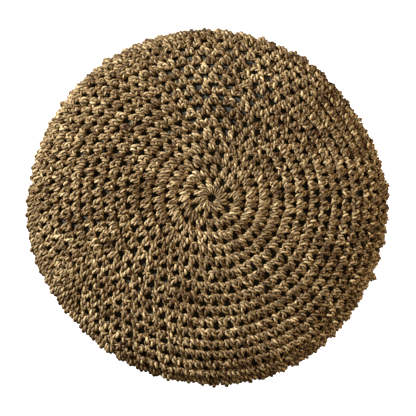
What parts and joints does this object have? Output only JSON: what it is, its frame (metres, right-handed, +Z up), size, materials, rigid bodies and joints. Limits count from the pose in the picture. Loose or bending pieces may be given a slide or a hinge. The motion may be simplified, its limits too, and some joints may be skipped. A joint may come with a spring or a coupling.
{
  "type": "chair seat pad",
  "caption": "Round cushioned seat pad with a cover crocheted in rounds from twisted seagrass cord over a dark cloth-lined filled pad.",
  "frame": {"origin": "centre of the flat underside, on the surface the pad rests on", "axes": "+Z up through the thickness, which is the pad's axis of turning; +X and +Y lie in the seat's plane"},
  "size_m": [0.4, 0.4, 0.075],
  "materials": {
    "seagrass_cord": "matte",
    "liner_cotton": "matte",
    "sewing_thread": "matte",
    "polyester_wadding": "matte",
    "foam": "matte"
  },
  "bodies": {
    "root": {"cover_top_panel": "seagrass_cord", "cover_bottom_panel": "seagrass_cord", "cover_joining_round": "seagrass_cord", "liner_top_panel": "liner_cotton", "liner_bottom_panel": "liner_cotton", "liner_side_band": "liner_cotton", "liner_top_seam_thread": "sewing_thread", "liner_bottom_seam_thread": "sewing_thread", "liner_closing_thread": "sewing_thread", "wadding_top": "polyester_wadding", "wadding_bottom": "polyester_wadding", "foam_core": "foam"}
  },
  "joints": []
}
